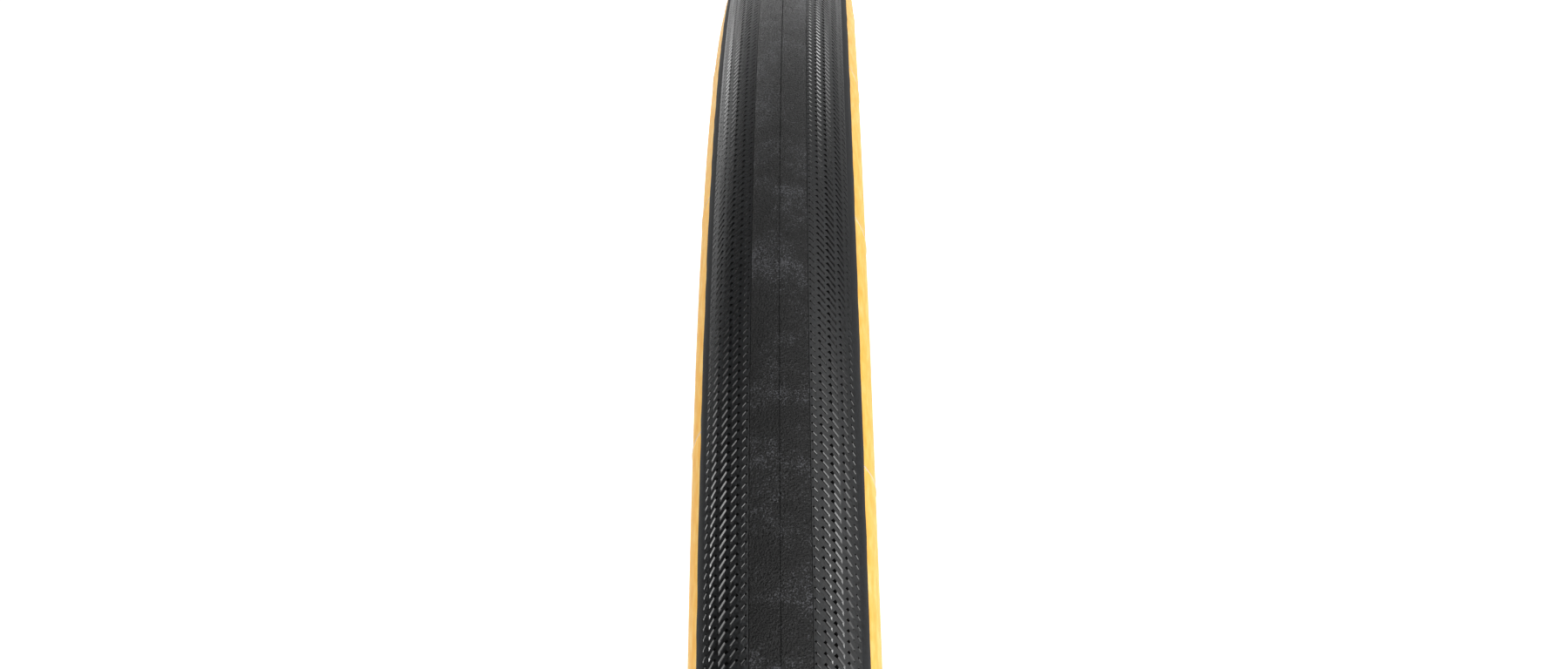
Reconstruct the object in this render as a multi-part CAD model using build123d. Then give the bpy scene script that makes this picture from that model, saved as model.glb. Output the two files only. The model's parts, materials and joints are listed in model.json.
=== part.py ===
"""A folding clincher bicycle tyre, ISO 30-622 (700 x 30C), at its inflated shape.

The wheel centre is the origin and the wheel spins about +Y, so the tyre stands upright in the XZ plane.
Every layer is drawn as a flat section in the XY plane, where X is the distance from the wheel's axle and
Y is the distance from the tyre's middle plane, and is then revolved about Y.

Layers from the air side out: inner liner, inner ply, outer ply, puncture belt, tread. The outer ply wraps
each bead core and turns up outside it. Each layer lies on the next one face to face.
"""

from build123d import *
import os
from math import acos, asin, cos, degrees, radians, sin

# Driving dimensions, in mm. Angles are in degrees, from the crown round the section towards the bead.
BEAD_SEAT_DIAMETER = 622.0
SECTION_WIDTH = 30.0
SECTION_HEIGHT = 30.0
BEAD_OUTER_HALF_WIDTH = 10.5

LINER = 0.3
PLY = 0.4
BELT = 0.4
SKIM = 0.4
CHAFER = 0.3

TREAD_CROWN = 2.0
TREAD_EDGE = 0.35
TREAD_HALF_WIDTH = 13.14
CENTRE_BAND_HALF_WIDTH = 4.85
CENTRE_BAND_RISE = 0.15
FILE_ZONE_END = 53.5

BELT_END = 50.0
SKIM_START = 54.0
TURN_UP_END = 114.0
CHAFER_START = 112.0
SIDEWALL_LINE = 135.0
LOWER_SIDEWALL_RADIUS = 8.0

CORE_RADIUS = 1.1
OUTER_STRANDS = 6
STRANDS_ACROSS = 3
STRAND_GAP = 0.04
LINER_END = -95.0
WRAP_END = -270.0
BEAD_CORNER = 0.6

QUARTER_TURN = 90.0
HALF_TURN = 180.0
FULL_TURN = 360.0

# Worked out from those. Layer heights count outwards from the face between the two plies.
BEAD_SEAT_RADIUS = BEAD_SEAT_DIAMETER / 2
CROWN_RADIUS = BEAD_SEAT_RADIUS + SECTION_HEIGHT
SECTION_RADIUS = SECTION_WIDTH / 2
PLY_FACE = SECTION_RADIUS - SKIM - PLY
CASING_CENTRE = CROWN_RADIUS - TREAD_CROWN - BELT - PLY - PLY_FACE
TREAD_CENTRE = CROWN_RADIUS - SECTION_RADIUS

INNER_PLY_IN = -PLY
LINER_IN = -PLY - LINER
OUTER_PLY_OUT = PLY
BELT_OUT = PLY + BELT
COVER_OUT = PLY + SKIM
CHAFER_OUT = COVER_OUT + CHAFER

WRAP_RADIUS = CORE_RADIUS + PLY
CORE_CENTRE = Vector(
    BEAD_SEAT_RADIUS + CHAFER + WRAP_RADIUS,
    BEAD_OUTER_HALF_WIDTH - CHAFER - WRAP_RADIUS,
)


def direction(angle):
    """The unit vector that points out of the section at an angle from the crown."""
    return Vector(cos(radians(angle)), sin(radians(angle)))


def lower_arc():
    """Centre and first angle of the arc that joins the casing's round part to its straight run."""
    casing = Vector(CASING_CENTRE, 0)
    normal = direction(SIDEWALL_LINE)
    line_foot = CORE_CENTRE - normal * WRAP_RADIUS
    reach = PLY_FACE - LOWER_SIDEWALL_RADIUS
    along = (line_foot - casing).dot(normal) - LOWER_SIDEWALL_RADIUS
    start = SIDEWALL_LINE - degrees(acos(along / reach))
    return casing + direction(start) * reach, start


LOWER_CENTRE, LOWER_START = lower_arc()


def band(centre, radius_in, radius_out, start, end):
    """A slice of a ring between two angles, as a face."""
    inner = CenterArc(centre, radius_in, start, end - start)
    outer = CenterArc(centre, radius_out, start, end - start)
    return make_face(
        [inner, outer, Line(inner @ 0, outer @ 0), Line(inner @ 1, outer @ 1)]
    )


def round_layer(height_in, height_out, start, end):
    """The part of a casing layer that lies on its two arcs, between two angles."""
    casing = Vector(CASING_CENTRE, 0)
    faces = []
    if start < LOWER_START:
        stop = min(end, LOWER_START)
        faces.append(band(casing, PLY_FACE + height_in, PLY_FACE + height_out, start, stop))
    if end > LOWER_START:
        begin = max(start, LOWER_START)
        radius = LOWER_SIDEWALL_RADIUS
        faces.append(band(LOWER_CENTRE, radius + height_in, radius + height_out, begin, end))
    return Sketch() + faces


def line_point(height):
    """Where the straight run to the bead starts, at a layer height."""
    return LOWER_CENTRE + direction(SIDEWALL_LINE) * (LOWER_SIDEWALL_RADIUS + height)


def line_at(height, lateral):
    """The point on the straight run, at a layer height, at a distance from the middle plane."""
    start = line_point(height)
    run = direction(SIDEWALL_LINE + QUARTER_TURN)
    return start + run * ((lateral - start.Y) / run.Y)


def straight_layer(height_in, height_out):
    """The straight run of a casing layer, from its arcs to where it meets the bead's wrap."""
    normal = direction(SIDEWALL_LINE)
    foot_in = CORE_CENTRE - normal * (WRAP_RADIUS - height_in)
    foot_out = CORE_CENTRE - normal * (WRAP_RADIUS - height_out)
    return make_face(Polyline(line_point(height_in), line_point(height_out), foot_out, foot_in, close=True))


def bead_wrap(height_in, height_out, end):
    """A casing layer bent round the bead core from its straight run, to an angle about the core.

    Angle 0 points out along X and 90 to the outside of the tyre."""
    start = SIDEWALL_LINE - HALF_TURN
    return band(CORE_CENTRE, WRAP_RADIUS - height_out, WRAP_RADIUS - height_in, end, start)


def turn_up():
    """The outer ply's end, from beside the bead core up over the filler and along the sidewall."""
    beside_in = CORE_CENTRE.Y + CORE_RADIUS
    beside_out = CORE_CENTRE.Y + WRAP_RADIUS
    upright = make_face(
        Polyline(
            (CORE_CENTRE.X, beside_in),
            (CORE_CENTRE.X, beside_out),
            line_at(COVER_OUT, beside_out),
            line_point(COVER_OUT),
            line_point(OUTER_PLY_OUT),
            line_at(OUTER_PLY_OUT, beside_in),
            close=True,
        )
    )
    return upright + round_layer(OUTER_PLY_OUT, COVER_OUT, TURN_UP_END, SIDEWALL_LINE)


def revolved(face):
    """The solid ring of a section face."""
    return revolve(face, Axis.Y, FULL_TURN)


def both_halves(face):
    """A section face of the right half, joined to its mirror image across the middle plane."""
    return face + mirror(face, Plane.XZ)


def casing_sections():
    """The liner and the two plies, as right halves from the crown to the bead."""
    liner = (
        round_layer(LINER_IN, INNER_PLY_IN, 0, SIDEWALL_LINE)
        + straight_layer(LINER_IN, INNER_PLY_IN)
        + bead_wrap(LINER_IN, INNER_PLY_IN, LINER_END)
    )
    inner_ply = (
        round_layer(INNER_PLY_IN, 0, 0, SIDEWALL_LINE)
        + straight_layer(INNER_PLY_IN, 0)
        + bead_wrap(INNER_PLY_IN, 0, LINER_END)
    )
    outer_ply = (
        round_layer(0, OUTER_PLY_OUT, 0, SIDEWALL_LINE)
        + straight_layer(0, OUTER_PLY_OUT)
        + bead_wrap(0, OUTER_PLY_OUT, WRAP_END)
        + turn_up()
    )
    return {"inner_liner": liner, "casing_ply_inner": inner_ply, "casing_ply_outer": outer_ply}


def tread_section():
    """The right half of the tread strip: a raised smooth centre band, a file zone and a plain shoulder."""
    casing = Vector(CASING_CENTRE, 0)
    centre = Vector(TREAD_CENTRE, 0)
    low_radius = SECTION_RADIUS - CENTRE_BAND_RISE
    band_end = degrees(asin(CENTRE_BAND_HALF_WIDTH / SECTION_RADIUS))
    edge_radius = PLY_FACE + COVER_OUT + TREAD_EDGE
    edge = degrees(asin(TREAD_HALF_WIDTH / edge_radius))
    edge_point = casing + direction(edge) * edge_radius
    crown = CenterArc(centre, SECTION_RADIUS, 0, band_end)
    low_start = degrees(asin(CENTRE_BAND_HALF_WIDTH / low_radius))
    file_zone = CenterArc(centre, low_radius, low_start, FILE_ZONE_END - low_start)
    shoulder = TangentArc(file_zone @ 1, edge_point, tangent=file_zone % 1)
    on_skim = CenterArc(casing, PLY_FACE + COVER_OUT, SKIM_START, edge - SKIM_START)
    on_ply = CenterArc(casing, PLY_FACE + OUTER_PLY_OUT, BELT_END, SKIM_START - BELT_END)
    on_belt = CenterArc(casing, PLY_FACE + BELT_OUT, 0, BELT_END)
    return make_face(
        [
            crown,
            Line(crown @ 1, file_zone @ 0),
            file_zone,
            shoulder,
            Line(edge_point, on_skim @ 1),
            on_skim,
            Line(on_skim @ 0, on_ply @ 1),
            on_ply,
            Line(on_ply @ 0, on_belt @ 1),
            on_belt,
            Line(on_belt @ 0, crown @ 0),
        ]
    )


def filler_section():
    """The rubber wedge over the bead core, between the outer ply and its turn-up."""
    beside = CORE_CENTRE.Y + CORE_RADIUS
    foot = CORE_CENTRE - direction(SIDEWALL_LINE) * CORE_RADIUS
    start = SIDEWALL_LINE - HALF_TURN
    over_core = CenterArc(CORE_CENTRE, CORE_RADIUS, start, QUARTER_TURN - start)
    peak = line_at(OUTER_PLY_OUT, beside)
    return make_face([over_core, Line(over_core @ 1, peak), Line(peak, foot)])


def chafer_section(casing):
    """The strip that guards the bead: flat on the rim's seat, rounded at heel and toe, and up both sides."""
    toe = CORE_CENTRE.Y - WRAP_RADIUS - PLY - LINER
    beside = CORE_CENTRE.Y + WRAP_RADIUS
    inside_end = CORE_CENTRE + direction(LINER_END) * (WRAP_RADIUS + PLY + LINER)
    block = make_face(
        Polyline(
            (BEAD_SEAT_RADIUS, toe),
            (BEAD_SEAT_RADIUS, BEAD_OUTER_HALF_WIDTH),
            line_at(CHAFER_OUT, BEAD_OUTER_HALF_WIDTH),
            line_at(COVER_OUT, beside),
            (CORE_CENTRE.X, beside),
            CORE_CENTRE,
            inside_end,
            close=True,
        )
    )
    seat_corners = block.vertices().group_by(Axis.X)[0]
    block = fillet(seat_corners, BEAD_CORNER)
    run = make_face(
        Polyline(
            line_at(CHAFER_OUT, BEAD_OUTER_HALF_WIDTH),
            line_point(CHAFER_OUT),
            line_point(COVER_OUT),
            line_at(COVER_OUT, beside),
            close=True,
        )
    )
    core_and_wrap = Pos(CORE_CENTRE.X, CORE_CENTRE.Y) * Circle(WRAP_RADIUS)
    strip = block + run + round_layer(COVER_OUT, CHAFER_OUT, CHAFER_START, SIDEWALL_LINE)
    for inside in (core_and_wrap, *casing.values()):
        strip = strip - inside
    return strip


def core_strands():
    """The bead core: one cord in the middle with six turns wound round it, just clear of each other."""
    spacing = 2 * CORE_RADIUS / STRANDS_ACROSS
    strand = Circle(spacing / 2 - STRAND_GAP / 2)
    centres = [CORE_CENTRE]
    for turn in range(OUTER_STRANDS):
        centres.append(CORE_CENTRE + direction(turn * FULL_TURN / OUTER_STRANDS) * spacing)
    return [revolved(Pos(centre.X, centre.Y) * strand) for centre in centres]


def parts():
    """Every sub-part's solid or group of solids, by its name."""
    casing = casing_sections()
    made = {name: revolved(both_halves(face)) for name, face in casing.items()}
    belt = round_layer(OUTER_PLY_OUT, BELT_OUT, 0, BELT_END)
    made["puncture_belt"] = revolved(both_halves(belt))
    made["tread_cap"] = revolved(both_halves(tread_section()))
    sides = {
        "sidewall": revolved(round_layer(OUTER_PLY_OUT, COVER_OUT, SKIM_START, TURN_UP_END)),
        "bead_filler": revolved(filler_section()),
        "chafer": revolved(chafer_section(casing)),
        "bead_core": Compound(core_strands()),
    }
    for name, shape in sides.items():
        made[name + "_right"] = shape
        made[name + "_left"] = mirror(shape, Plane.XZ)
    return made


os.makedirs("parts", exist_ok=True)
for node, shape in parts().items():
    export_step(shape, f"parts/{node}.step")
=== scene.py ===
"""Looks of a folding clincher bicycle tyre with a black file tread and golden sidewalls.

The tyre stands upright in the XZ plane with its axle along Y. A place on it is given by three numbers: the
angle round the wheel, the distance along the section's surface from the crown (positive to +Y), and the
height above that surface. Sections are worked out in millimetres and become metres as a mesh is made.
"""

import bpy
import json
import numpy as np
from math import acos, asin, cos, degrees, hypot, pi, radians, sin, sqrt, tau
from mathutils import Matrix, Vector
from mathutils.geometry import delaunay_2d_cdt


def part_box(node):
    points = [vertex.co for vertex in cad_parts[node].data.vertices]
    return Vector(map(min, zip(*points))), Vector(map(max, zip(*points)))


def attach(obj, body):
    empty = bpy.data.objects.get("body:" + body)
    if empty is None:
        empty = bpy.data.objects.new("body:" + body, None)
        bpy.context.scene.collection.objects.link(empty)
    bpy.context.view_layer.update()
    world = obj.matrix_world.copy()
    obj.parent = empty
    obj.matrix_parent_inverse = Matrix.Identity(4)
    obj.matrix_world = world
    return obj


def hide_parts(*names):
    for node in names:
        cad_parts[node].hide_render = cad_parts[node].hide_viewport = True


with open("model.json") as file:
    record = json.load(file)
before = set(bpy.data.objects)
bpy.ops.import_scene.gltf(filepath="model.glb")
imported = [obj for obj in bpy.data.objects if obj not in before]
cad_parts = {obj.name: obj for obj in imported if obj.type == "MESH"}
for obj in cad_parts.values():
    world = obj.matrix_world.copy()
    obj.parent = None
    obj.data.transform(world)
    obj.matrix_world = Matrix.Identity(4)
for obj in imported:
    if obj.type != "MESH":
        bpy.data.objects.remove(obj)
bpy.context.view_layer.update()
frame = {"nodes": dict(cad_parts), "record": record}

MM = 0.001
SHARP_ANGLE = 24.0

# The tyre's own sizes, in mm, from the frame.
mount = frame["record"]["mounts"][0]
BEAD_SEAT_RADIUS = mount["dims"]["r_mm"]
CROWN_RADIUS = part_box("tread_cap")[1][2] / MM
SECTION_RADIUS = (CROWN_RADIUS - BEAD_SEAT_RADIUS) / 2
TREAD_CENTRE = CROWN_RADIUS - SECTION_RADIUS
TREAD_HALF_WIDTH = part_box("tread_cap")[1][1] / MM
CASING_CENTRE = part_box("puncture_belt")[1][2] / MM - SECTION_RADIUS
FLOOR = -CROWN_RADIUS

# The tread's moulding, in mm along and above the surface. TREAD_END is in degrees from the crown.
BAND_HALF_WIDTH = 4.85
BAND_RISE = 0.15
BAND_GAP = 0.12
BAND_START = 0.3
BAND_MARGIN = 0.25
BAND_EDGE = [(-0.06, 0.0), (0.0, -0.04)]
FILE_END = 14.0
TREAD_EDGE = 0.35
TREAD_END = 58.0
EDGE_WANDER = 0.10
WANDER_WAVES = (61, 97, 149, 211, 263)
WANDER_SPREAD = 2.2
BODY_STEPS = 860
FACE_POINTS = 10
SHOULDER_POINTS = 7
INNER_POINTS = 21
PARTING_LINE = [(0.0, -0.14), (0.045, -0.12), (0.08, 0.0)]

# The file pattern: how many pits go round the tyre, and each column's place across the tread, its place
# along it and its size against the largest. The left side's pits lie further on and further out.
PITS_ROUND = 1178
PIT_COLUMNS = [
    (5.28, 0.68, 0.50),
    (6.80, 0.54, 0.80),
    (8.65, 0.51, 1.00),
    (11.00, 1.09, 0.84),
    (13.05, 1.38, 0.48),
]
LEFT_LAG = 0.73
LEFT_SHIFT = 0.15
SLAB_DEPTH = 0.85
SLAB_SPLIT = 10.40
INNER_COLUMNS = 3
BASE_POINTS = 4
PERIODS = 7
MERGE_DISTANCE = 1e-6

# One pit of the largest size, on the right side, as (across, down, depth) in mm from the deep hole at its
# head. From the hole a slot runs down and outwards, with a curved ramp on its inner side and a steep outer
# wall. The creases join points of the hollow.
PIT_OUTLINE = [
    (0.05, -0.36, 0.0),
    (0.37, 0.05, 0.0),
    (1.56, 1.24, 0.0),
    (1.50, 2.05, 0.0),
    (0.98, 1.50, 0.0),
    (-0.02, 0.42, 0.0),
    (-0.47, 0.17, 0.0),
]
PIT_HOLLOW = [
    (0.04, -0.26, 0.70),
    (0.27, 0.07, 0.70),
    (0.02, 0.30, 0.65),
    (-0.36, 0.15, 0.70),
    (0.35, 0.27, 0.18),
    (1.32, 1.23, 0.18),
    (1.35, 1.50, 0.18),
]
PIT_CREASES = [(0, 1), (1, 2), (2, 3), (3, 0), (1, 4), (2, 4), (4, 5), (5, 6)]

# The casing, in mm and in degrees from the crown round the section towards the bead.
SKIM = 0.4
PLY = 0.4
LINER = 0.3
CHAFER = 0.3
SKIM_START = 54.0
SKIM_END = 114.0
CHAFER_START = 112.0
SIDEWALL_LINE = 135.0
LOWER_RADIUS = 8.0
CORE_RADIUS = 1.1
LINER_END = -95.0
BEAD_CORNER = 0.6
PLY_FACE = SECTION_RADIUS - SKIM - PLY
WRAP_RADIUS = CORE_RADIUS + PLY
BEAD_HALF_WIDTH = mount["dims"]["length_mm"] / 2 + BEAD_CORNER
CORE = np.array([BEAD_SEAT_RADIUS + CHAFER + WRAP_RADIUS, BEAD_HALF_WIDTH - CHAFER - WRAP_RADIUS])

# How finely the casing's rings are divided, round the wheel and along their sections.
RING_STEPS = 600
SIDEWALL_STEPS = 720
SKIN_POINTS = 30
LINE_POINTS = 8
CORNER_POINTS = 5
WRAP_POINTS = 14

# The thin vent ridges across the golden sidewalls: their sizes in mm, where they end and fade in degrees
# from the crown, and the first one's angle round the wheel on each side.
RIDGE_HEIGHT = 0.12
RIDGE_HALF_WIDTH = 0.26
RIDGE_END = 96.0
RIDGES_ROUND = 34
FIRST_RIDGE = {1: 20.2, -1: 21.6}
RIDGE_FADE = 4.0
RIDGE_CLEARANCE = 1.5
RIDGE_ACROSS = np.array([-1.0, -0.65, -0.3, 0.0, 0.3, 0.65, 1.0])
RIDGE_SHAPE = np.array([0.0, 0.3, 0.85, 1.0, 0.85, 0.3, 0.0])

# Colours and angles of the casing's materials.
# A paler grey that the gold is blended towards on the vent ridges.
RIDGE_PALE_GREY = (0.55, 0.46, 0.42)
STREAK_ANGLE = 38.0
BIAS = 45.0

# The studio: soft lamps and lit walls as (azimuth, elevation, brightness, sharpness). Azimuth is counted
# from +X towards +Y, and a sharper one is smaller.
STUDIO = [
    (-24, 10, 7.0, 60.0),
    (2, 10, 6.0, 60.0),
    (28, 10, 5.0, 60.0),
    (48, 12, 3.5, 60.0),
    (-12, 64, 2.5, 60.0),
    (-38, 62, 9.0, 60.0),
    (60, 15, 1.6, 16.0),
    (90, 15, 2.4, 16.0),
    (90, 50, 2.2, 16.0),
    (180, 15, 2.3, 16.0),
    (180, 50, 0.4, 16.0),
    (-148, 20, 1.8, 60.0),
]
BACKDROP = 1.1
FLOOR_GLOW = 0.6
FLOOR_WHITE = 0.95
FLOOR_REACH = 30.0

# The camera: its distance from the axle and its offset along it in mm, its turns in degrees, and its lens.
CAMERA_DISTANCE = 661.95
CAMERA_ASIDE = 10.27
CAMERA_YAW = 1.561
CAMERA_PITCH = 21.29
CAMERA_ROLL = -1.037
CAMERA_LENS = 52.79
CAMERA_SENSOR = 36.0


def mesh_piece(name, vertices, faces, materials, nodes, indices=None):
    """A piece of the tyre from vertices in mm: smooth but sharp at its edges, and riding on the tyre."""
    mesh = bpy.data.meshes.new(name)
    mesh.from_pydata((np.asarray(vertices) * MM).tolist(), [], faces)
    for material in materials:
        mesh.materials.append(material)
    if indices is not None:
        mesh.polygons.foreach_set("material_index", np.asarray(indices, dtype=np.int32))
    mesh.shade_smooth()
    mesh.set_sharp_from_angle(angle=radians(SHARP_ANGLE))
    piece = bpy.data.objects.new(name, mesh)
    bpy.context.collection.objects.link(piece)
    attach(piece, "root")
    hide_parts(*nodes)
    return piece


def place(angle, radial, lateral):
    """Vertices in mm at angles round the wheel, distances from the axle and distances along the axle."""
    return np.stack([radial * np.cos(angle), lateral + 0 * angle, radial * np.sin(angle)], axis=-1)


def around(steps):
    """Evenly spaced angles round the wheel."""
    return np.linspace(0, tau, steps, endpoint=False)


def on_tread(distance, height=0.0):
    """Distance from the axle and along it, of a point on the tread's round surface or above it."""
    turn = distance / SECTION_RADIUS
    reach = SECTION_RADIUS + height
    return TREAD_CENTRE + reach * np.cos(turn), reach * np.sin(turn)


def ring(name, sections, angles, materials, nodes, side=1, indices=None):
    """A closed section of (radial, lateral) points, or one for each angle, swept round the axle."""
    sections = np.asarray(sections, float)
    count = len(angles)
    if sections.ndim == 2:
        sections = np.repeat(sections[None], count, axis=0)
    points = sections.shape[1]
    turned = np.repeat(np.asarray(angles)[:, None], points, axis=1)
    vertices = place(turned, sections[..., 0], sections[..., 1] * side).reshape(-1, 3)
    faces = []
    for i in range(count):
        here, there = i * points, (i + 1) % count * points
        for j in range(points):
            k = (j + 1) % points
            faces.append((here + j, here + k, there + k, there + j)[::side])
    return mesh_piece(name, vertices, faces, materials, nodes, indices)


def arc(centre, radius, start, end, steps):
    """Points (radial, lateral) on an arc about such a point, between angles in degrees from the crown."""
    turn = np.radians(np.linspace(start, end, steps))
    return np.asarray(centre, float) + radius * np.stack([np.cos(turn), np.sin(turn)], axis=-1)


def mirrored(points):
    """Points of the right half of a section, mirrored to the left half, in the opposite order."""
    return points[::-1] * (1, -1)


# ---------------------------------------------------------------- materials

def principled(name, **inputs):
    """A new material, a function that adds a node to it, and one that links a node into its shader.

    An added node's links go from a socket to a value or to the (node, output) that feeds it."""
    material = bpy.data.materials.new(name)
    material.use_nodes = True
    tree = material.node_tree
    shader = tree.nodes["Principled BSDF"]
    for socket, value in inputs.items():
        shader.inputs[socket.replace("_", " ")].default_value = value

    def add(kind, links=None, **values):
        node = tree.nodes.new(kind)
        for key, value in values.items():
            setattr(node, key, value)
        for socket, source in (links or {}).items():
            if isinstance(source, tuple) and hasattr(source[0], "outputs"):
                tree.links.new(source[0].outputs[source[1]], node.inputs[socket])
            else:
                node.inputs[socket].default_value = source
        return node

    def into(socket, node, output):
        tree.links.new(node.outputs[output], shader.inputs[socket])

    return material, add, into


def ramp(add, source, stops):
    """A colour ramp fed by (node, output), with stops of (position, colour)."""
    node = add("ShaderNodeValToRGB", {"Fac": source})
    elements = node.color_ramp.elements
    while len(elements) < len(stops):
        elements.new(0.5)
    for element, (position, colour) in zip(elements, stops):
        element.position = position
        element.color = (*colour, 1)
    return node


def grey(value):
    return (value, value, value)


def noise(add, scale, detail=2.0, roughness=0.5):
    """Noise fixed to the tyre, with its scale in steps to the metre."""
    where = add("ShaderNodeTexCoord")
    links = {"Vector": (where, "Object"), "Scale": scale, "Detail": detail, "Roughness": roughness}
    return add("ShaderNodeTexNoise", links)


def rolled_out(add):
    """Coordinates in metres along the tyre and across it, as if its surface were rolled out flat."""
    where = add("ShaderNodeTexCoord")
    split = add("ShaderNodeSeparateXYZ", {"Vector": (where, "Object")})
    turn = add("ShaderNodeMath", {0: (split, "Z"), 1: (split, "X")}, operation="ARCTAN2")
    along = add("ShaderNodeMath", {0: (turn, "Value"), 1: CASING_CENTRE * MM}, operation="MULTIPLY")
    squares = [add("ShaderNodeMath", {0: (split, axis), 1: 2.0}, operation="POWER") for axis in "XZ"]
    total = add("ShaderNodeMath", {0: (squares[0], "Value"), 1: (squares[1], "Value")}, operation="ADD")
    radial = add("ShaderNodeMath", {0: (total, "Value"), 1: 0.5}, operation="POWER")
    drop = add("ShaderNodeMath", {0: CASING_CENTRE * MM, 1: (radial, "Value")}, operation="SUBTRACT")
    bend = add("ShaderNodeMath", {0: (split, "Y"), 1: (drop, "Value")}, operation="ARCTAN2")
    across = add("ShaderNodeMath", {0: (bend, "Value"), 1: SECTION_RADIUS * MM}, operation="MULTIPLY")
    return add("ShaderNodeCombineXYZ", {"X": (along, "Value"), "Y": (across, "Value")})


def threads(add, flat, coarseness, angle):
    """Parallel threads on the rolled-out surface, at an angle to the tyre's length.

    Their coarseness is a length in mm that their spacing grows with. It isn't the spacing itself."""
    turn = {"Vector": (flat, "Vector"), "Rotation": (0.0, 0.0, radians(angle))}
    turned = add("ShaderNodeMapping", turn)
    scale = 0.5 / (coarseness * MM) / 5.0
    links = {"Vector": (turned, "Vector"), "Scale": scale, "Distortion": 0.4, "Detail": 1.0}
    return add("ShaderNodeTexWave", links, bands_direction="Y", wave_profile="SIN")


def tread_rubber():
    """Matt black rubber with the fine grain of a blasted mould. Its dark base colour varies with the grain
    and is lightened in fine specks and broad patches, a painted sparkle and a painted sheen.
    """
    material, add, into = principled("tread_rubber", Specular_IOR_Level=0.34)
    grain = noise(add, scale=2700.0, detail=2.0, roughness=0.7)
    # Broad patches of painted sheen: the base colour is lightened as if a lamp glinted on the rubber.
    sheen_patches = noise(add, scale=120.0, detail=5.0, roughness=0.6)
    speck_and_sparkle = noise(add, scale=3400.0, detail=1.0)
    mixed = add("ShaderNodeMath", {0: (speck_and_sparkle, "Fac"), 1: (sheen_patches, "Fac")}, operation="MULTIPLY")
    # The darker tones are the rubber's own. The lightest one is painted sparkle, strongest inside the
    # patches of painted sheen.
    tones = [(0.22, grey(0.003)), (0.30, grey(0.009)), (0.37, (0.060, 0.061, 0.067))]
    base = ramp(add, (mixed, "Value"), tones)
    into("Base Color", base, "Color")
    rough = ramp(add, (grain, "Fac"), [(0.35, grey(0.26)), (0.65, grey(0.46))])
    into("Roughness", rough, "Color")
    bump = add("ShaderNodeBump", {"Height": (grain, "Fac"), "Strength": 1.0, "Distance": 0.0006})
    into("Normal", bump, "Normal")
    return material


def shoulder_rubber():
    """The dull, plain rubber of the tread's shoulders and its inner face."""
    material, add, into = principled("shoulder_rubber", Specular_IOR_Level=0.18)
    grain = noise(add, scale=1500.0, detail=3.0)
    base = ramp(add, (grain, "Fac"), [(0.35, grey(0.009)), (0.65, (0.018, 0.019, 0.021))])
    into("Base Color", base, "Color")
    rough = ramp(add, (grain, "Fac"), [(0.3, grey(0.62)), (0.7, grey(0.75))])
    into("Roughness", rough, "Color")
    bump = add("ShaderNodeBump", {"Height": (grain, "Fac"), "Strength": 0.7, "Distance": 0.00006})
    into("Normal", bump, "Normal")
    return material


def file_rubber():
    """The same rubber where the mould is smoother, on the lands between the pits."""
    material, add, into = principled("file_rubber", Specular_IOR_Level=0.42)
    grain = noise(add, scale=1900.0, detail=2.0, roughness=0.6)
    base = ramp(add, (grain, "Fac"), [(0.35, grey(0.003)), (0.65, (0.009, 0.010, 0.011))])
    into("Base Color", base, "Color")
    rough = ramp(add, (grain, "Fac"), [(0.3, grey(0.34)), (0.7, grey(0.46))])
    into("Roughness", rough, "Color")
    bump = add("ShaderNodeBump", {"Height": (grain, "Fac"), "Strength": 0.7, "Distance": 0.00012})
    into("Normal", bump, "Normal")
    return material


def pit_rubber():
    """The glossy rubber inside the pits, where the mould's pins are polished."""
    material, add, into = principled("pit_rubber", Specular_IOR_Level=1.0)
    grain = noise(add, scale=2600.0, detail=1.0)
    base = ramp(add, (grain, "Fac"), [(0.3, grey(0.005)), (0.7, grey(0.010))])
    into("Base Color", base, "Color")
    rough = ramp(add, (grain, "Fac"), [(0.3, grey(0.14)), (0.7, grey(0.24))])
    into("Roughness", rough, "Color")
    return material


def blend(first, second, share):
    """A colour between two others, with the second one's share from 0 to 1."""
    return tuple(a * (1 - share) + b * share for a, b in zip(first, second))


def golden_rubber(name="golden_sidewall", dull=0.0):
    """Golden latex rubber over cord: blotchy, faintly streaked along the cords, and slightly glossy."""
    material, add, into = principled(name, Roughness=0.5, Specular_IOR_Level=0.45)
    flat = rolled_out(add)
    stretch = {"Vector": (flat, "Vector"), "Rotation": (0, 0, radians(STREAK_ANGLE)), "Scale": (0.35, 1, 1)}
    streaked = add("ShaderNodeMapping", stretch)
    blotches = {"Vector": (streaked, "Vector"), "Scale": 620.0, "Detail": 4.0, "Roughness": 0.62}
    blotch = add("ShaderNodeTexNoise", blotches)
    tones = [(0.30, (0.88, 0.42, 0.045)), (0.50, (0.92, 0.51, 0.09)), (0.70, (0.95, 0.62, 0.19))]
    # Each gold tone is blended towards a paler grey by the share dull, which makes the vent ridges paler
    # and greyer than the rest.
    mixed = [(position, blend(tone, RIDGE_PALE_GREY, dull)) for position, tone in tones]
    colour = ramp(add, (blotch, "Fac"), mixed)
    into("Base Color", colour, "Color")
    bump = add("ShaderNodeBump", {"Height": (blotch, "Fac"), "Strength": 0.5, "Distance": 0.00008})
    into("Normal", bump, "Normal")
    return material


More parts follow.
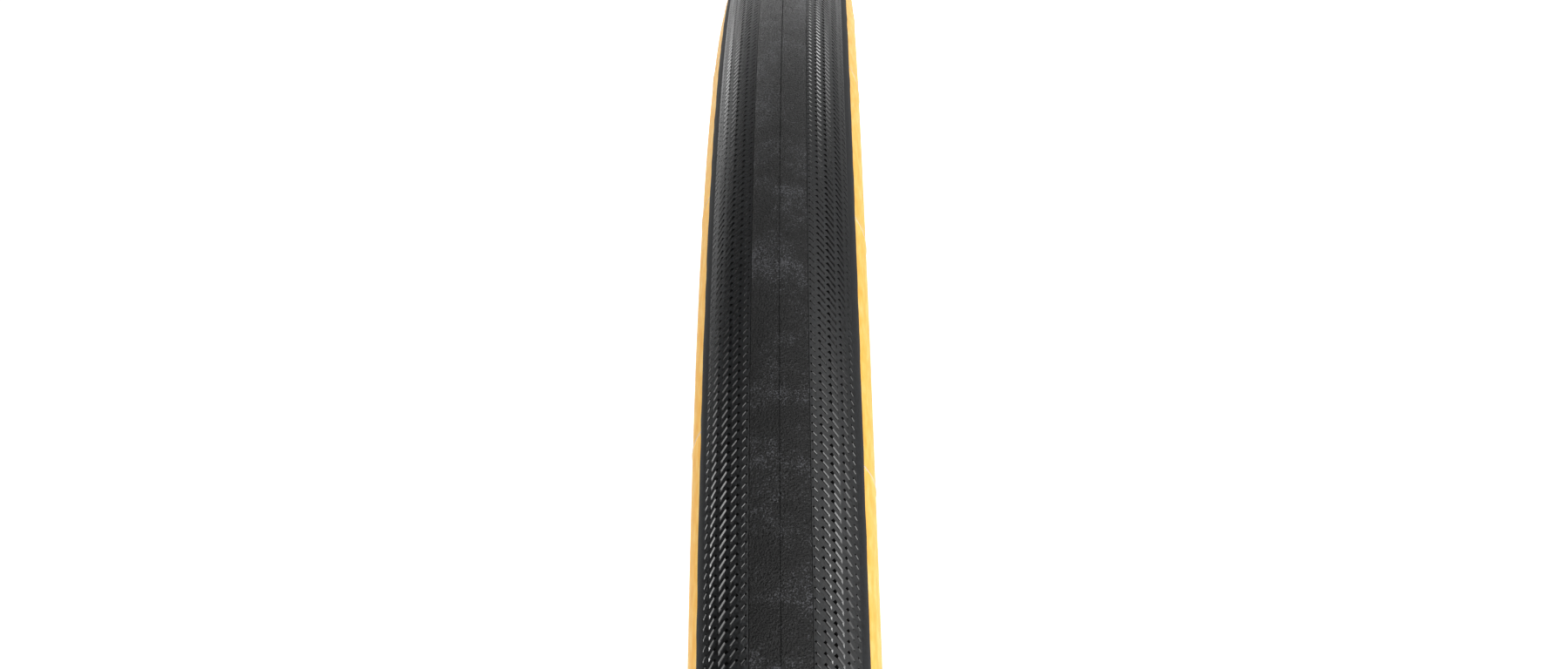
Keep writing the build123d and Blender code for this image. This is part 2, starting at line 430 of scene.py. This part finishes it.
def woven(name, light, dark, coarseness, angle, roughness):
    """A square weave of threads laid at an angle to the tyre's length."""
    material, add, into = principled(name, Roughness=roughness, Specular_IOR_Level=0.35)
    flat = rolled_out(add)
    warp = threads(add, flat, coarseness, angle)
    weft = threads(add, flat, coarseness, angle + 90.0)
    weave = add("ShaderNodeMath", {0: (warp, "Fac"), 1: (weft, "Fac")}, operation="MULTIPLY")
    patchy = noise(add, scale=300.0, detail=3.0)
    worn = add("ShaderNodeMath", {0: (weave, "Value"), 1: (patchy, "Fac")}, operation="MULTIPLY")
    into("Base Color", ramp(add, (worn, "Value"), [(0.05, dark), (0.5, light)]), "Color")
    bump = add("ShaderNodeBump", {"Height": (weave, "Value"), "Strength": 0.8, "Distance": 0.0001})
    into("Normal", bump, "Normal")
    return material


def corded(name, light, dark, coarseness, angle, roughness):
    """Rubber with parallel cords just under it."""
    material, add, into = principled(name, Roughness=roughness, Specular_IOR_Level=0.4)
    cords = threads(add, rolled_out(add), coarseness, angle)
    patchy = noise(add, scale=180.0, detail=4.0)
    tone = add("ShaderNodeMath", {0: (cords, "Fac"), 1: (patchy, "Fac")}, operation="MULTIPLY")
    into("Base Color", ramp(add, (tone, "Value"), [(0.05, dark), (0.6, light)]), "Color")
    bump = add("ShaderNodeBump", {"Height": (cords, "Fac"), "Strength": 0.6, "Distance": 0.00006})
    into("Normal", bump, "Normal")
    return material


def plain_pale(name, value, glow):
    """A matt, pale surface that glows a little, like a floor lit from below."""
    white = (1, 1, 1, 1)
    looks = {"Base_Color": (*grey(value), 1), "Emission_Color": white, "Emission_Strength": glow}
    return principled(name, Roughness=0.9, **looks)[0]


# ---------------------------------------------------------------- tread

def shoulder_arc(steps):
    """The tread's rounded shoulder: an arc tangent to the file zone that ends at the tread's thin edge."""
    turn = FILE_END / SECTION_RADIUS
    low = SECTION_RADIUS - BAND_RISE
    start = np.array([TREAD_CENTRE + low * cos(turn), low * sin(turn)])
    heading = np.array([-sin(turn), cos(turn)])
    inward = np.array([-cos(turn), -sin(turn)])
    reach = SECTION_RADIUS + TREAD_EDGE
    end = np.array([CASING_CENTRE + sqrt(reach ** 2 - TREAD_HALF_WIDTH ** 2), TREAD_HALF_WIDTH])
    chord = end - start
    radius = chord.dot(chord) / (2 * chord.dot(inward))
    centre = start + inward * radius
    sweep = 2 * asin(hypot(*chord) / (2 * radius))
    bend = np.linspace(0, sweep, steps)[:, None]
    return centre - inward * radius * np.cos(bend) + heading * radius * np.sin(bend)


def wander(angles, seed, amount):
    """A smooth random wander round the tyre, whose peaks are about as large as the amount."""
    draw = np.random.default_rng(seed)
    total = np.zeros(len(angles))
    for waves in WANDER_WAVES:
        total += np.sin(waves * angles + draw.uniform(0, tau)) * draw.uniform(0.3, 1.0)
    return amount * total / WANDER_SPREAD


def tread_body(materials):
    """The tread strip without its file zones: centre band, shoulders and inner face, with a wavy edge."""
    band = [(d, 0.0) for d in np.linspace(BAND_START, BAND_HALF_WIDTH - BAND_MARGIN, FACE_POINTS)]
    edge = [(BAND_HALF_WIDTH + out, up) for out, up in BAND_EDGE]
    trough = [(d, -BAND_RISE - SLAB_DEPTH) for d in np.linspace(BAND_HALF_WIDTH, FILE_END, FACE_POINTS)]
    face = np.array([on_tread(d, h) for d, h in PARTING_LINE + band + edge + trough])
    outer = np.vstack([face, shoulder_arc(SHOULDER_POINTS)])
    inner = arc((CASING_CENTRE, 0), SECTION_RADIUS, TREAD_END, -TREAD_END, INNER_POINTS)
    outline = np.vstack([outer, inner, mirrored(outer)[:-1]])
    angles = around(BODY_STEPS)
    sections = np.repeat(outline[None], len(angles), axis=0)
    last = len(outer) - 1
    first = len(outer) + len(inner)
    along = np.array([-sin(radians(TREAD_END)), cos(radians(TREAD_END))])
    for index, seed, side in ((last, 3, 1), (first, 7, -1)):
        sections[:, index] += wander(angles, seed, EDGE_WANDER)[:, None] * along * (1, side)
    on_band = len(PARTING_LINE + band + edge)
    dull = np.ones(len(outline), dtype=np.int32)
    dull[:on_band] = 0
    dull[-on_band:] = 0
    indices = np.tile(dull, len(angles))
    return ring("tread_body", sections, angles, materials, ["tread_cap"], indices=indices)


def pattern_cell(columns, low, high):
    """One period of a file zone: its vertices as (across, down, depth), and triangles of (vertex, period).

    The pits of several periods are triangulated together, and the triangles that start in the middle one
    are kept, so the pattern joins up with itself."""
    periods = range(PERIODS)
    pitch = tau * CROWN_RADIUS / PITS_ROUND
    cell = [(low, 0.0, 0.0), (high, 0.0, 0.0)]
    edges = []
    rim = len(PIT_OUTLINE)
    for across, down, size in columns:
        first = len(cell)
        for x, y, depth in PIT_OUTLINE + PIT_HOLLOW:
            cell.append((across + size * x, down + size * y, size * depth))
        edges += [(first + i, first + (i + 1) % rim) for i in range(rim)]
        edges += [(first + rim + i, first + rim + j) for i, j in PIT_CREASES]
    points = [Vector((x, -y + period * pitch)) for period in periods for x, y, _ in cell]
    links = [(i + period * len(cell), j + period * len(cell)) for period in periods for i, j in edges]
    for border in (0, 1):
        links += [(border + k * len(cell), border + (k + 1) * len(cell)) for k in periods[:-1]]
    _, _, faces, sources, _, _ = delaunay_2d_cdt(points, links, [], 0, MERGE_DISTANCE)
    kept = []
    for face in faces:
        corners = [divmod(sources[v][0], len(cell)) for v in face]
        start = min(period for period, _ in corners)
        if start == PERIODS // 2:
            kept.append([(vertex, period - start) for period, vertex in corners])
    return cell, kept


def file_slab(name, columns, low, high, side, materials):
    """A closed slab of the file zone between two distances from the crown, with pits cut into its face."""
    cell, triangles = pattern_cell(columns, low, high)
    base = [(across, 0.0, SLAB_DEPTH) for across in np.linspace(low, high, BASE_POINTS)]
    rows = np.array(cell + base)
    size = len(rows)
    lag = LEFT_LAG if side < 0 else 0.0
    turned = np.arange(PITS_ROUND)[:, None] * tau / PITS_ROUND - (rows[:, 1] + lag) / CROWN_RADIUS
    radial, lateral = on_tread(rows[:, 0], -BAND_RISE - rows[:, 2])
    vertices = place(turned, radial + 0 * turned, side * lateral + 0 * turned).reshape(-1, 3)
    bottom = list(range(len(cell), size))
    quads = [(a, b) for a, b in zip(bottom[1:], bottom[:-1])] + [(bottom[0], 0), (1, bottom[-1])]
    in_pit = [int(any(rows[vertex, 2] > 0 for vertex, _ in triangle)) for triangle in triangles]
    faces = []
    for n in range(PITS_ROUND):
        here, there = n * size, (n + 1) % PITS_ROUND * size
        for triangle in triangles:
            faces.append([(n + period) % PITS_ROUND * size + vertex for vertex, period in triangle][::side])
        for a, b in quads:
            faces.append([here + a, here + b, there + b, there + a][::side])
    indices = (in_pit + [0] * len(quads)) * PITS_ROUND
    return mesh_piece(name, vertices, faces, materials, ["tread_cap"], indices)


def tread():
    """The whole tread: its body and, on each side, the file zone in two slabs."""
    tread_body([tread_rubber(), shoulder_rubber()])
    materials = [file_rubber(), pit_rubber()]
    for side, word in ((1, "right"), (-1, "left")):
        shift = LEFT_SHIFT if side < 0 else 0.0
        columns = [(across + shift, down, size) for across, down, size in PIT_COLUMNS]
        split = SLAB_SPLIT + shift
        inner, outer = columns[:INNER_COLUMNS], columns[INNER_COLUMNS:]
        file_slab(f"tread_file_inner_{word}", inner, BAND_HALF_WIDTH + BAND_GAP, split, side, materials)
        file_slab(f"tread_file_outer_{word}", outer, split, FILE_END, side, materials)


# ---------------------------------------------------------------- casing

def unit(angle):
    """The direction that points out of the section at an angle from the crown."""
    return np.array([cos(radians(angle)), sin(radians(angle))])


def lower_arc():
    """Centre and first angle of the arc from the casing's round part to its straight run to the bead."""
    normal = unit(SIDEWALL_LINE)
    middle = np.array([CASING_CENTRE, 0.0])
    reach = PLY_FACE - LOWER_RADIUS
    along = (CORE - normal * WRAP_RADIUS - middle).dot(normal) - LOWER_RADIUS
    start = SIDEWALL_LINE - degrees(acos(along / reach))
    return middle + unit(start) * reach, start


LOWER_CENTRE, LOWER_START = lower_arc()


def layer_line(height, start, steps):
    """A layer's face from an angle down to its straight run, at a height over the plies' outer face."""
    lower = arc(LOWER_CENTRE, LOWER_RADIUS + height, max(start, LOWER_START), SIDEWALL_LINE, steps)
    if start >= LOWER_START:
        return lower
    upper = arc((CASING_CENTRE, 0), PLY_FACE + height, start, LOWER_START, 3 * steps)
    return np.vstack([upper, lower[1:]])


def line_at(height, lateral):
    """The point on a layer's straight run at a distance from the middle plane."""
    start = LOWER_CENTRE + unit(SIDEWALL_LINE) * (LOWER_RADIUS + height)
    run = unit(SIDEWALL_LINE + 90)
    return start + run * ((lateral - start[1]) / run[1])


def ridge_angles(side):
    """Angles round the wheel, closer together at one side's vent ridges, and the ridges' height at each."""
    ridges = np.radians(FIRST_RIDGE[side] + np.arange(RIDGES_ROUND) * 360 / RIDGES_ROUND)
    profile = RIDGE_ACROSS * RIDGE_HALF_WIDTH / CASING_CENTRE
    plain = around(SIDEWALL_STEPS)
    gap = np.abs((plain[:, None] - ridges[None] + pi) % tau - pi).min(axis=1)
    plain = plain[gap > RIDGE_CLEARANCE * RIDGE_HALF_WIDTH / CASING_CENTRE]
    angles = np.concatenate([plain, (ridges[:, None] + profile[None]).ravel() % tau])
    lift = np.concatenate([np.zeros(len(plain)), np.tile(RIDGE_SHAPE * RIDGE_HEIGHT, len(ridges))])
    order = np.argsort(angles)
    return angles[order], lift[order]


def sidewall(side, word, materials):
    """The golden skin of one side, from under the tread's edge to the chafer, with its vent ridges."""
    angles, lift = ridge_angles(side)
    turns = np.linspace(SKIM_START, SKIM_END, SKIN_POINTS)
    outer = arc((CASING_CENTRE, 0), SECTION_RADIUS, SKIM_START, SKIM_END, SKIN_POINTS)
    inner = arc((CASING_CENTRE, 0), SECTION_RADIUS - SKIM, SKIM_END, SKIM_START, SKIN_POINTS)
    fade = np.clip((RIDGE_END - turns) / RIDGE_FADE, 0, 1) * (turns > SKIM_START)
    outward = np.stack([np.cos(np.radians(turns)), np.sin(np.radians(turns))], axis=-1)
    sections = np.repeat(np.vstack([outer, inner])[None], len(angles), axis=0)
    sections[:, :SKIN_POINTS] += (lift[:, None] * fade[None])[..., None] * outward[None]
    raised = np.maximum(lift, np.roll(lift, -1)) > 0.5 * RIDGE_HEIGHT
    on_ridge = np.zeros(sections.shape[:2], dtype=np.int32)
    on_ridge[:, : SKIN_POINTS - 1] = raised[:, None] & (turns[:-1] < RIDGE_END)[None]
    name = f"sidewall_skin_{word}"
    nodes = [f"sidewall_{word}"]
    return ring(name, sections, angles, materials, nodes, side, on_ridge.ravel())


def liner(material):
    """The thin rubber film on the air side, from bead to bead."""
    def half(height):
        wrap = arc(CORE, WRAP_RADIUS - height, SIDEWALL_LINE - 180, LINER_END, CORNER_POINTS)
        return np.vstack([layer_line(height, 0.0, LINE_POINTS), wrap])

    outer, inner = half(-PLY), half(-PLY - LINER)
    outline = np.vstack([mirrored(outer)[:-1], outer, inner[::-1], (inner * (1, -1))[1:]])
    return ring("liner_film", outline, around(RING_STEPS), [material], ["inner_liner"])


def chafer(side, word, material):
    """The woven strip that guards one bead: up the sidewall, round the seat, and a little up the inside."""
    cover = PLY + SKIM
    outside = layer_line(cover + CHAFER, CHAFER_START, LINE_POINTS)
    knee = line_at(cover + CHAFER, BEAD_HALF_WIDTH)
    toe_face = CORE[1] - WRAP_RADIUS - PLY - LINER
    corner_radial = BEAD_SEAT_RADIUS + BEAD_CORNER
    heel = arc((corner_radial, BEAD_HALF_WIDTH - BEAD_CORNER), BEAD_CORNER, 90, 180, CORNER_POINTS)
    toe = arc((corner_radial, toe_face + BEAD_CORNER), BEAD_CORNER, 180, 270, CORNER_POINTS)
    inside_end = CORE + unit(LINER_END) * (WRAP_RADIUS + PLY + LINER)
    round_core = arc(CORE, WRAP_RADIUS, LINER_END, -270.0, WRAP_POINTS)
    beside = line_at(cover, CORE[1] + WRAP_RADIUS)
    back = layer_line(cover, CHAFER_START, LINE_POINTS)[::-1]
    outline = np.vstack([outside, [knee], heel, toe, [inside_end], round_core, [beside], back])
    name = f"chafer_cloth_{word}"
    nodes = [f"chafer_{word}"]
    return ring(name, outline, around(RING_STEPS), [material], nodes, side)


def casing():
    """The sidewalls, liner and chafers, and better materials on the layers that keep their CAD meshes."""
    gold = [golden_rubber(), golden_rubber("vent_ridge", 0.75)]
    cloth = woven("chafer_cloth", (0.045, 0.045, 0.048), (0.008, 0.008, 0.009), 0.45, BIAS, 0.7)
    for side, word in ((1, "right"), (-1, "left")):
        sidewall(side, word, gold)
        chafer(side, word, cloth)
    liner(corded("liner_film", (0.16, 0.115, 0.07), (0.05, 0.036, 0.024), 0.5, BIAS, 0.45))
    fabric = corded("casing_cords", (0.55, 0.42, 0.22), (0.22, 0.15, 0.07), 0.4, BIAS, 0.7)
    belt = woven("belt_cloth", (0.42, 0.33, 0.12), (0.14, 0.10, 0.04), 0.6, BIAS, 0.7)
    aramid = corded("aramid_yarn", (0.75, 0.58, 0.16), (0.35, 0.24, 0.05), 0.25, 20.0, 0.6)
    kept = {
        "puncture_belt": belt,
        "casing_ply_outer": fabric,
        "casing_ply_inner": fabric,
        "bead_core_left": aramid,
        "bead_core_right": aramid,
        "bead_filler_left": file_rubber(),
        "bead_filler_right": file_rubber(),
    }
    for node, material in kept.items():
        for slot in frame["nodes"][node].material_slots:
            slot.material = material


# ---------------------------------------------------------------- scene

def studio():
    """A white studio: soft lamps and lit walls all round, and a pale floor."""
    world = bpy.data.worlds.new("studio")
    bpy.context.scene.world = world
    world.use_nodes = True
    tree = world.node_tree
    toward = tree.nodes.new("ShaderNodeTexCoord").outputs["Generated"]

    def math(operation, first, second):
        node = tree.nodes.new("ShaderNodeMath")
        node.operation = operation
        for socket, value in zip(node.inputs, (first, second)):
            if isinstance(value, float):
                socket.default_value = value
            else:
                tree.links.new(value, socket)
        return node.outputs["Value"]

    total = 0.0
    for azimuth, elevation, brightness, sharpness in STUDIO:
        across, up = radians(azimuth), radians(elevation)
        dot = tree.nodes.new("ShaderNodeVectorMath")
        dot.operation = "DOT_PRODUCT"
        dot.inputs[1].default_value = (cos(up) * cos(across), cos(up) * sin(across), sin(up))
        tree.links.new(toward, dot.inputs[0])
        lobe = math("POWER", math("MAXIMUM", dot.outputs["Value"], 0.0), sharpness)
        total = math("ADD", math("MULTIPLY", lobe, float(brightness)), total)
    seen = tree.nodes.new("ShaderNodeLightPath").outputs["Is Camera Ray"]
    background = tree.nodes["Background"]
    background.inputs["Color"].default_value = (1, 1, 1, 1)
    tree.links.new(math("MAXIMUM", total, math("MULTIPLY", seen, BACKDROP)), background.inputs["Strength"])

    mesh = bpy.data.meshes.new("floor")
    square = ((-1, -1), (1, -1), (1, 1), (-1, 1))
    corners = [(x * FLOOR_REACH, y * FLOOR_REACH, FLOOR * MM) for x, y in square]
    mesh.from_pydata(corners, [], [(0, 1, 2, 3)])
    mesh.materials.append(plain_pale("floor", FLOOR_WHITE, FLOOR_GLOW))
    floor = bpy.data.objects.new("floor", mesh)
    bpy.context.collection.objects.link(floor)
    bpy.context.scene.view_settings.view_transform = "Standard"


def camera():
    """The camera: nearly level, about 240 mm above the axle, looking at the upper front of the tread."""
    yaw, pitch, roll = radians(CAMERA_YAW), radians(CAMERA_PITCH), radians(CAMERA_ROLL)
    data = bpy.data.cameras.new("camera")
    data.sensor_width = CAMERA_SENSOR
    data.lens = CAMERA_LENS
    data.clip_start = 0.01
    eye = bpy.data.objects.new("camera", data)
    bpy.context.collection.objects.link(eye)
    turn = Matrix.Rotation(yaw, 3, "Z") @ Matrix.Rotation(pitch, 3, "Y") @ Matrix.Rotation(roll, 3, "X")
    back, right, up = turn.col[0], turn.col[1], turn.col[2]
    pose = Matrix((right, up, back)).transposed().to_4x4()
    pose.translation = Vector((CAMERA_DISTANCE * MM, CAMERA_ASIDE * MM, 0))
    eye.matrix_world = Matrix.Rotation(-pitch, 4, "Y") @ pose
    bpy.context.scene.camera = eye


camera()
studio()
tread()
casing()
